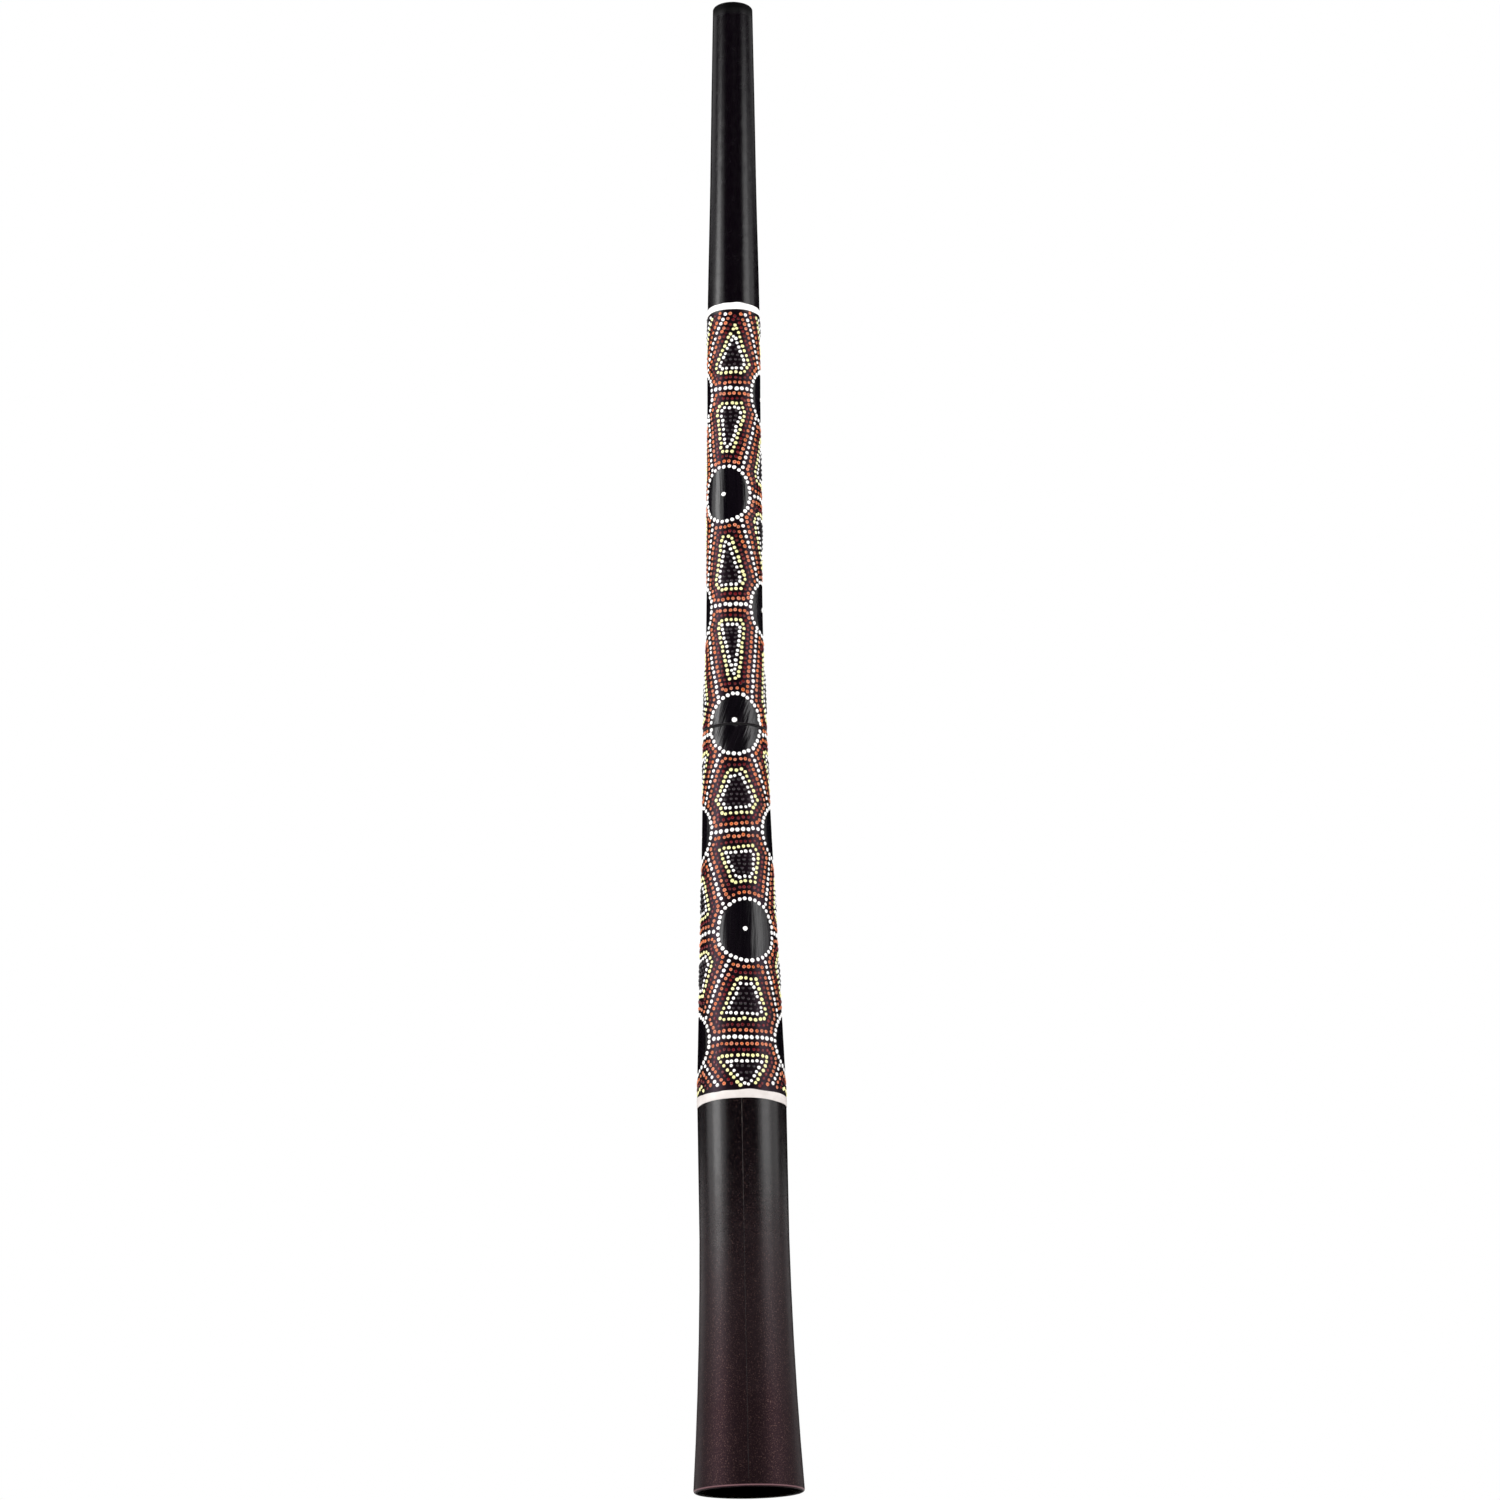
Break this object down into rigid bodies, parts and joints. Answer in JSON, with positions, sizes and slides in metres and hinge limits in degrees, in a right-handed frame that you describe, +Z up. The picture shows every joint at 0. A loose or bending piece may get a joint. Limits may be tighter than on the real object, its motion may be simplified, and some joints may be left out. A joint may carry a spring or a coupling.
{
  "type": "didgeridoo",
  "caption": "Tall slender wooden wind instrument: a tapering tube with a flared bell, a small mouth end, a pull-apart joint at half height, painted rings and a dotted painted field",
  "frame": {"origin": "centre of the bell rim, on the surface that the instrument stands on", "axes": "+Z up along the bell section's axis to the mouth, -Y the front where the seam runs, +X the side that the mouth section leans to"},
  "size_m": [0.0896, 0.0896, 1.3003],
  "materials": {
    "bell_lacquer": "dark brown-black satin lacquer over carved wood",
    "mouth_lacquer": "near-black satin lacquer over carved wood",
    "white_paint": "thick brushed acrylic paint",
    "cream_paint": "raised acrylic paint dots",
    "orange_paint": "raised acrylic paint dots",
    "red_paint": "raised acrylic paint dots",
    "black_paint": "glossy black acrylic paint",
    "sleeve_plastic": "smooth dull plastic",
    "seal_rubber": "matte",
    "gasket_rubber": "matte"
  },
  "bodies": {
    "bell_section": {"bell_left_half": "bell_lacquer", "bell_right_half": "bell_lacquer", "lower_band": "white_paint", "joint_sleeve": "sleeve_plastic", "lower_o_ring": "seal_rubber", "upper_o_ring": "seal_rubber"},
    "gasket": {"joint_gasket": "gasket_rubber"},
    "mouth_section": {"mouth_left_half": "mouth_lacquer", "mouth_right_half": "mouth_lacquer", "upper_band": "white_paint"}
  },
  "joints": [
    {"name": "twist", "type": "hinge", "parent": "bell_section", "child": "gasket", "pos_m": [0, 0, 0.6357], "axis": [0, 0, 1], "continuous": true},
    {"name": "pull_off", "type": "slide", "parent": "gasket", "child": "mouth_section", "axis": [0, 0, 1], "range_m": [0, 0.09]}
  ]
}
